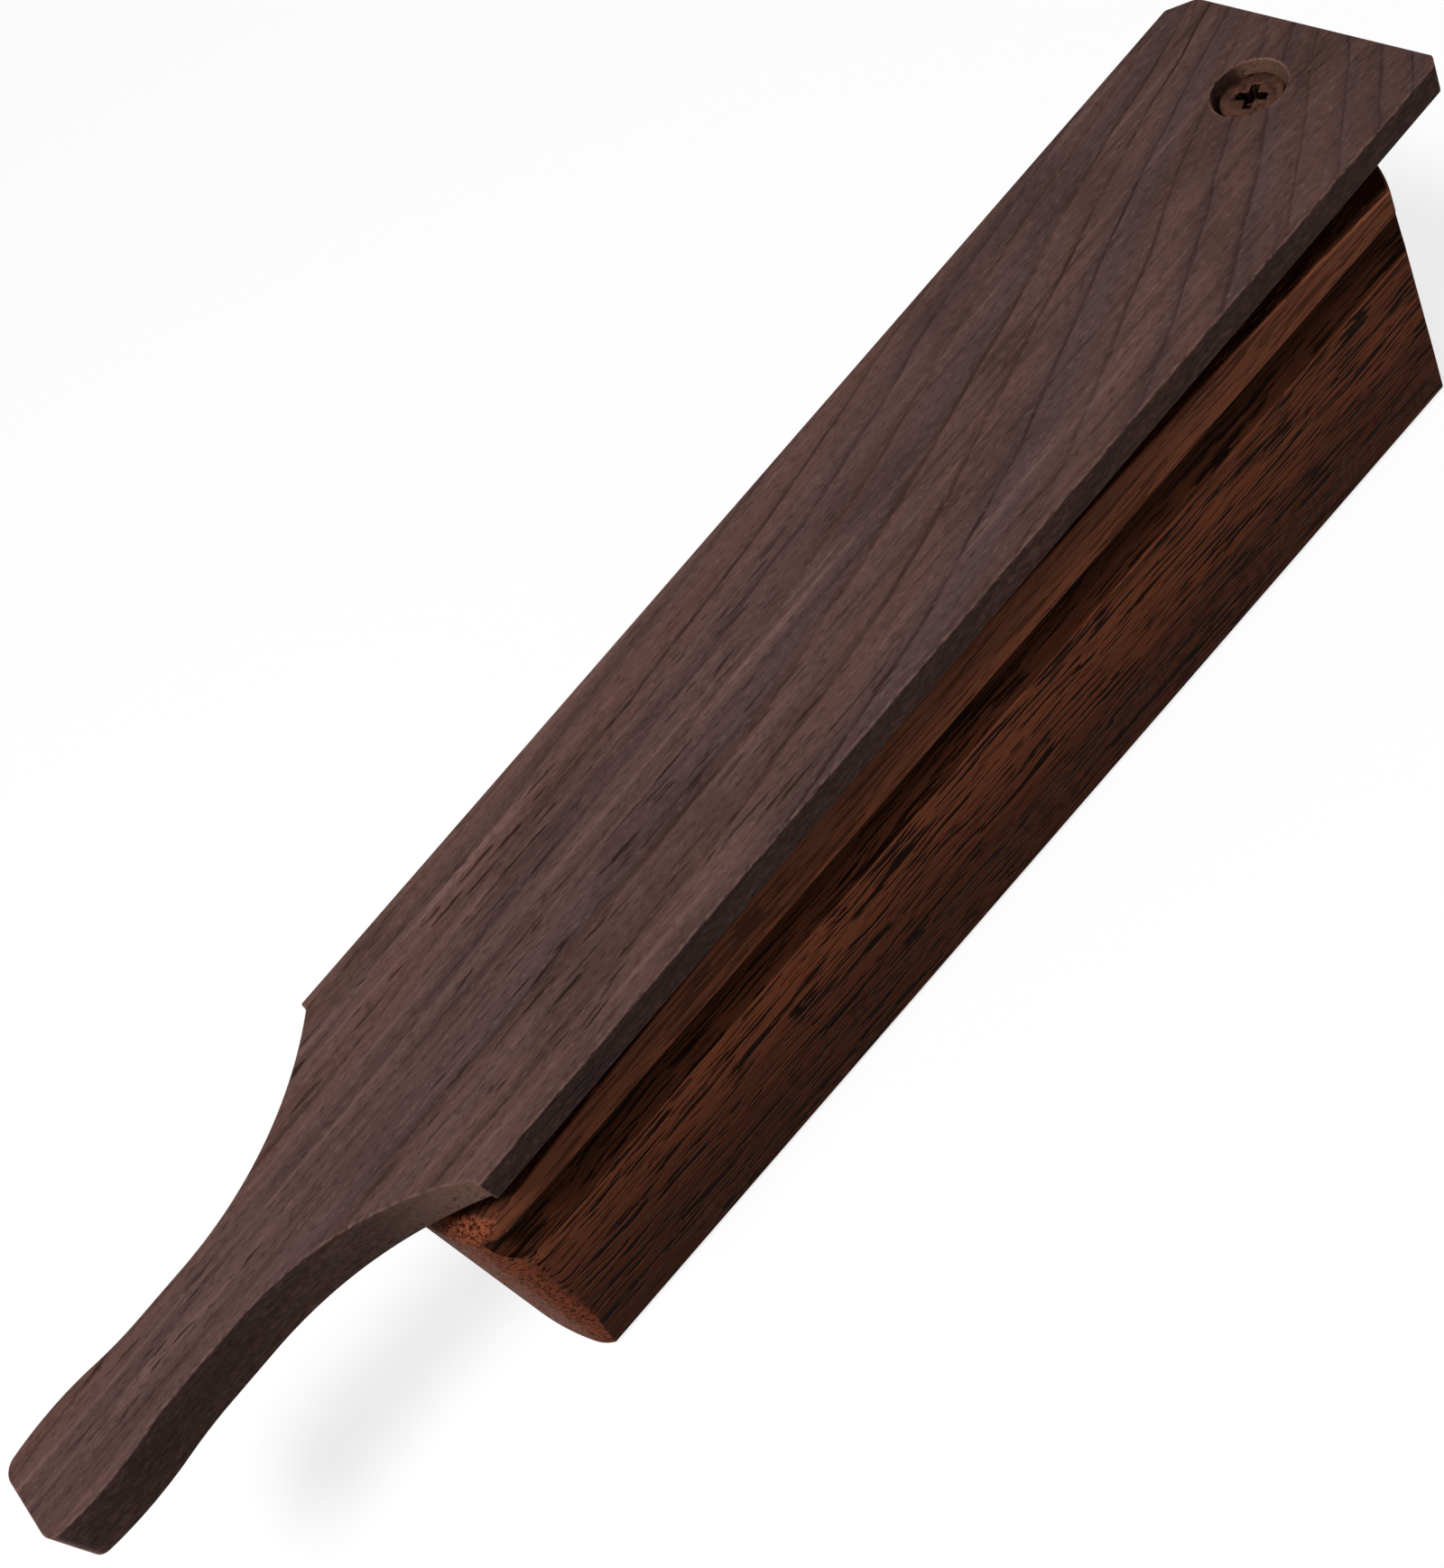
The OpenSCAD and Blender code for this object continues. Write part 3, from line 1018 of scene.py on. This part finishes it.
    def crisp(self, edge: Edge) -> bool:
        """Says whether an edge lies on the line where the tapered sides begin."""
        return all(abs(v.co.z - self.taper_top) < TOUCH for v in edge.verts)

    def dress(self) -> None:
        """Builds the trough and gives it its wood."""
        show(
            self.build(), "trough", self.finish.make(), Body.TROUGH, ("box_body",),
            20.0, self.crisp,
        )


@dataclass
class Lid:
    """The paddle lid, from the pivot at its origin with the handle along -X."""

    top: float = 52.3
    width: float = 41.8
    heel: float = 11.5
    shoulder: float = 170.1
    reach: float = 236.1
    keel: float = 9.9
    rim: float = 4.5
    far_chamfer: float = 3.2
    near_chamfer: float = 1.4
    shoulder_step: float = 1.3
    scoop_run: float = 33.0
    waist: float = 12.6
    waist_run: float = 8.58
    flare_run: float = 15.18
    flare: float = 15.0
    tip_r: float = 2.4
    turn: float = 1.0
    pivot_x: float = PIVOT_X
    pad_r: float = 15.6
    relief_r: float = 161.0
    relief_top: float = 45.6
    rock_x: float = 3.0
    heel_rise: float = 6.0
    bore_r: float = 5.0
    bore_floor: float = 45.4
    hole_r: float = 2.65
    eased: float = 0.3
    # how far the tools reach past the wood
    clear: float = 2.0
    saw_past: float = 5.0
    saw_side: float = 20.0
    heel_saw: tuple[float, float] = (22.0, 30.0)
    finish: Walnut = field(default_factory=Walnut)

    def outline(self) -> Pen:
        """Draws the plan of the plate, the scooped shoulders and the handle.

        Returns:
            The closed outline.
        """
        w, c, half = self.width / 2, self.near_chamfer, self.waist / 2
        rise = w - self.shoulder_step - half
        scoop_r = (self.scoop_run**2 + rise**2) / (2 * rise)
        waist_x = self.shoulder + self.scoop_run
        hollow_x = waist_x + self.waist_run
        swell_x = hollow_x + self.flare_run
        h = self.flare / 2 - half
        r = (self.flare_run**2 + h**2) / (4 * h)
        half_way = math.degrees(math.asin(self.flare_run / 2 / r))
        by = self.flare / 2 - r
        cx = self.tip_r - self.reach
        cy = by + math.sqrt((r - self.tip_r) ** 2 - (cx + swell_x) ** 2)
        turn = math.degrees(math.atan2(cy - by, cx + swell_x))
        scoop = math.degrees(math.asin(self.scoop_run / scoop_r))
        pen = Pen(self.heel, 0.0).line(self.heel, w - c).line(self.heel - c, w)
        pen.line(-self.shoulder, w).line(-self.shoulder, w - self.shoulder_step)
        pen.arc((-waist_x, half + scoop_r), -scoop, 28).line(-hollow_x, half)
        pen.arc((-hollow_x, half + r), -half_way, 10).arc((-swell_x, by), turn - 90 + half_way, 20)
        pen.arc((cx, cy), 180.0 - turn, 8).line(-self.reach, 0.0)
        return pen.mirrored()

    def build(self) -> Solid:
        """Saws, planes and bores the lid.

        Returns:
            The solid, in its place on the call.
        """
        keel_z = self.top - self.keel
        bm = self.outline().prism(keel_z - 1, self.top)
        rise = self.keel - self.rim
        sole_r = ((self.width / 2) ** 2 + rise**2) / (2 * rise)
        z = keel_z + sole_r
        bm = self.cut_corner(bm, keel_z)
        sole = cutter_rod(sole_r, (-self.reach - self.saw_past, 0, z), (self.saw_side, 0, z), 384)
        bm = carve(bm, sole, Cut.KEEP)
        under, over = keel_z - self.clear, self.top + self.clear
        relief = Pen(self.pad_r, under).line(self.relief_r, under)
        relief.line(self.relief_r, self.relief_top).line(self.pad_r, self.relief_top)
        relief.line(self.pad_r, under)
        bm = carve(bm, relief.closed().lathed(360))
        length, half = self.heel_saw
        heel = cutter_block((0, -half, -self.keel), (length, half, 0))
        place = Matrix.Translation((self.rock_x, 0, keel_z)) @ turned(-self.heel_rise, "Y")
        bm = carve(bm, moved(heel, place))
        for radius, low, sides in ((self.bore_r, self.bore_floor, 96), (self.hole_r, under, 64)):
            bm = carve(bm, cutter_rod(radius, (0, 0, low), (0, 0, over), sides))
        ease(bm, self.eased, 4, lambda e: not self.in_relief(e))
        return moved(bm, Matrix.Translation((self.pivot_x, 0, 0)) @ turned(self.turn))

    def cut_corner(self, bm: Solid, keel_z: float) -> Solid:
        """Saws off the heel's far corner.

        Args:
            bm: The lid's blank.
            keel_z: Height of its underside.

        Returns:
            The sawn blank.
        """
        half, side, past = self.far_chamfer / 2, self.saw_side, self.saw_past
        saw = cutter_block((0, -side, keel_z - past), (side, side, self.top + past))
        place = Matrix.Translation((self.heel - half, self.width / 2 - half, 0))
        return carve(bm, moved(saw, place @ turned(45)))

    def in_relief(self, edge: Edge) -> bool:
        """Says whether an edge belongs to the planed sole, whose edges stay crisp."""
        at = middle(edge)
        return at.z < self.relief_top + 5 * TOUCH and at.x > -self.relief_r - self.clear

    def dress(self) -> None:
        """Builds the lid and gives it its wood."""
        show(
            self.build(), "lid", self.finish.make(), Body.LID, ("paddle_lid",), 20.0
        )


@dataclass
class PivotScrew:
    """The flat-head wood screw with its cross recess."""

    x: float = PIVOT_X
    top: float = 50.8
    head_r: float = 4.15
    land: float = 0.4
    shank_r: float = 2.1
    head_base: float = 48.04
    low: float = 16.8
    point: float = 5.0
    recess_reach: float = 2.55
    recess_width: float = 1.35
    recess_depth: float = 1.9
    recess_turn: float = 20.0
    recess_taper: tuple[float, float] = (0.55, 0.7)
    eased: float = 0.12
    finish: WorkedSteel = field(
        default_factory=lambda: WorkedSteel("bronzed_steel", "5a3a2c", "2c1b14", 0.34)
    )

    def build(self) -> Solid:
        """Turns the screw and presses the recess into its head.

        Returns:
            The solid.
        """
        pen = Pen(0.0, self.low).line(self.shank_r / 4, self.low)
        pen.line(self.shank_r, self.low + self.point).line(self.shank_r, self.head_base)
        pen.line(self.head_r, self.top - self.land).line(self.head_r, self.top).line(0.0, self.top)
        bm = pen.lathed(64)
        reach, half = self.recess_reach, self.recess_width / 2
        for turn in (self.recess_turn, self.recess_turn + 90):
            wing = cutter_block(
                (-reach, -half, self.top - self.recess_depth), (reach, half, self.top + 1)
            )
            for v in wing.verts:
                if v.co.z < self.top:
                    v.co.x *= self.recess_taper[0]
                    v.co.y *= self.recess_taper[1]
            bm = carve(bm, moved(wing, turned(turn)))
        ease(bm, self.eased, 2, lambda e: middle(e).z > self.head_base + 0.5)
        return shifted(bm, self.x)

    def dress(self) -> None:
        """Builds the screw and gives it its bronzed finish."""
        show(
            self.build(), "screw", self.finish.make(), Body.TROUGH, ("pivot_screw",)
        )


@dataclass
class Tension:
    """The small spring under the screw's head and the washer that it stands on."""

    x: float = PIVOT_X
    coil_r: float = 3.2
    wire_r: float = 0.25
    low: float = 46.3
    pitch: float = 0.95
    turns: float = 2.375
    steps: int = 32
    washer_r: float = 4.5
    washer_hole_r: float = 2.6
    washer_low: float = 45.4
    washer_top: float = 46.0
    eased: float = 0.08
    wire: WorkedSteel = field(
        default_factory=lambda: WorkedSteel("spring_wire", "8f8f92", "626266", 0.28)
    )
    plate: WorkedSteel = field(
        default_factory=lambda: WorkedSteel("washer_steel", "93928f", "6a6966", 0.36)
    )

    def coil(self) -> Solid:
        """Winds the spring.

        Returns:
            The closed coil.
        """
        bm = bmesh.new()
        bmesh.ops.create_circle(bm, cap_ends=True, segments=14, radius=self.wire_r)
        moved(bm, Matrix.Translation((self.coil_r, 0, self.low)) @ turned(90, "X"))
        bmesh.ops.spin(
            bm, geom=bm.faces[:] + bm.edges[:] + bm.verts[:], cent=(0, 0, 0), axis=(0, 0, 1),
            dvec=(0, 0, self.pitch / self.steps), angle=math.tau * self.turns,
            steps=round(self.turns * self.steps), use_merge=False, use_duplicate=False,
        )
        return shifted(bm, self.x)

    def washer(self) -> Solid:
        """Stamps the washer.

        Returns:
            The ring.
        """
        pen = Pen(self.washer_hole_r, self.washer_low).line(self.washer_r, self.washer_low)
        pen.line(self.washer_r, self.washer_top).line(self.washer_hole_r, self.washer_top)
        bm = pen.line(self.washer_hole_r, self.washer_low).closed().lathed(48)
        ease(bm, self.eased, 2, lambda e: True)
        return shifted(bm, self.x)

    def dress(self) -> None:
        """Builds spring and washer and gives them their steel."""
        show(
            self.coil(), "spring_coil", self.wire.make(), Body.SPRING, ("tension_spring",),
            60.0,
        )
        show(
            self.washer(), "washer", self.plate.make(), Body.LID, ("spring_washer",),
        )


# ---- the studio


@dataclass
class Studio:
    """Floor, lamp, surroundings and the camera, placed as the photograph was taken."""

    camera_at: tuple[float, float, float] = (-52.2, -175.1, 247.0)
    azimuth: float = 5.639
    elevation: float = 48.12
    roll: float = 44.28
    focal_pixels: float = 2309.0
    principal: tuple[float, float] = (685.6, 898.3)
    surround: float = 0.15
    floor_tone: float = 0.22
    floor_lift: float = 0.80
    lamp_at: tuple[float, float, float] = (-0.38, -0.23, 1.20)
    lamp_aim: tuple[float, float, float] = (0.0, 0.0, 0.03)
    lamp_watts: float = 13.8
    lamp_side: float = 0.35

    def camera(self) -> None:
        """Sets up the camera at the photograph's viewpoint."""
        az, el, roll = (math.radians(a) for a in (self.azimuth, self.elevation, self.roll))
        ahead = Vector((math.sin(az) * math.cos(el), math.cos(az) * math.cos(el), -math.sin(el)))
        right = Vector((math.cos(az), -math.sin(az), 0.0))
        down = ahead.cross(right)
        across = math.cos(roll) * right + math.sin(roll) * down
        below = -math.sin(roll) * right + math.cos(roll) * down
        turn = Matrix((across, -below, -ahead)).transposed().to_4x4()
        lens = bpy.data.cameras.new("photo_lens")
        longer = max(PHOTO_SIZE)
        lens.lens = self.focal_pixels / longer * lens.sensor_width
        lens.shift_x = (PHOTO_SIZE[0] / 2 - self.principal[0]) / longer
        lens.shift_y = (self.principal[1] - PHOTO_SIZE[1] / 2) / longer
        lens.clip_start, lens.clip_end = 0.01, 20.0
        seat = put_in("photo_camera", lens)
        seat.matrix_world = Matrix.Translation(Vector(self.camera_at) * MM) @ turn
        bpy.context.scene.camera = seat

    def lamp(self) -> None:
        """Hangs the one soft square lamp, which faces the call."""
        light = bpy.data.lights.new("top_light", "AREA")
        light.energy = self.lamp_watts
        light.size = self.lamp_side
        seat = put_in("top_light", light)
        at = Vector(self.lamp_at)
        seat.location = at
        seat.rotation_euler = (Vector(self.lamp_aim) - at).to_track_quat("-Z", "Y").to_euler()

    def watched(self, tree: bpy.types.NodeTree) -> Socket:
        """Tells rays that see the studio from rays that only gather its light.

        Args:
            tree: The nodes of the material or world.

        Returns:
            1 for the camera's own rays and those mirrored or bent by a piece, 0 for others.
        """
        path = tree.nodes.new("ShaderNodeLightPath")
        found = path.outputs["Is Camera Ray"]
        for kind in ("Is Glossy Ray", "Is Transmission Ray"):
            either = tree.nodes.new("ShaderNodeMath")
            either.operation = "MAXIMUM"
            tree.links.new(found, either.inputs[0])
            tree.links.new(path.outputs[kind], either.inputs[1])
            found = either.outputs[0]
        return found

    def floor(self) -> None:
        """Lays the plain pale floor, which keeps the call's shadow."""
        bm = bmesh.new()
        bmesh.ops.create_grid(bm, x_segments=1, y_segments=1, size=6.0)
        mesh = bpy.data.meshes.new("studio_floor")
        bm.to_mesh(mesh)
        bm.free()
        s = Shade("pale_floor")
        s.fix("Base Color", (*(self.floor_tone,) * 3, 1.0))
        s.fix("Roughness", 0.9)
        s.fix("Specular IOR Level", 0.0)
        s.fix("Emission Color", (1.0, 1.0, 1.0, 1.0))
        lift = s.ramp(self.watched(s.tree), 0.0, 1.0, 0.0, self.floor_lift, smooth=False)
        s.fix("Emission Strength", lift)
        mesh.materials.append(s.material)
        ground = put_in("studio_floor", mesh)

    def surroundings(self) -> None:
        """Makes the even white surroundings: full white to the eye, dimmer as a light."""
        world = bpy.data.worlds.new("studio_world")
        bpy.context.scene.world = world
        world.use_nodes = True
        tree = world.node_tree
        shown = tree.nodes["Background"]
        shown.inputs["Color"].default_value = (1.0, 1.0, 1.0, 1.0)
        seen = tree.nodes.new("ShaderNodeMapRange")
        seen.inputs["To Min"].default_value = self.surround
        seen.inputs["To Max"].default_value = 1.0
        tree.links.new(self.watched(tree), seen.inputs["Value"])
        tree.links.new(seen.outputs["Result"], shown.inputs["Strength"])

    def set_up(self) -> None:
        """Puts the whole studio in place."""
        self.camera()
        self.floor()
        self.surroundings()
        self.lamp()
        bpy.context.scene.view_settings.view_transform = "Standard"


def main() -> None:
    """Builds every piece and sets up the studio."""
    logging.basicConfig(level=logging.INFO, format="%(message)s")
    for piece in (Trough(), Lid(), PivotScrew(), Tension()):
        piece.dress()
    Studio().set_up()


if __name__ == "__main__":
    main()
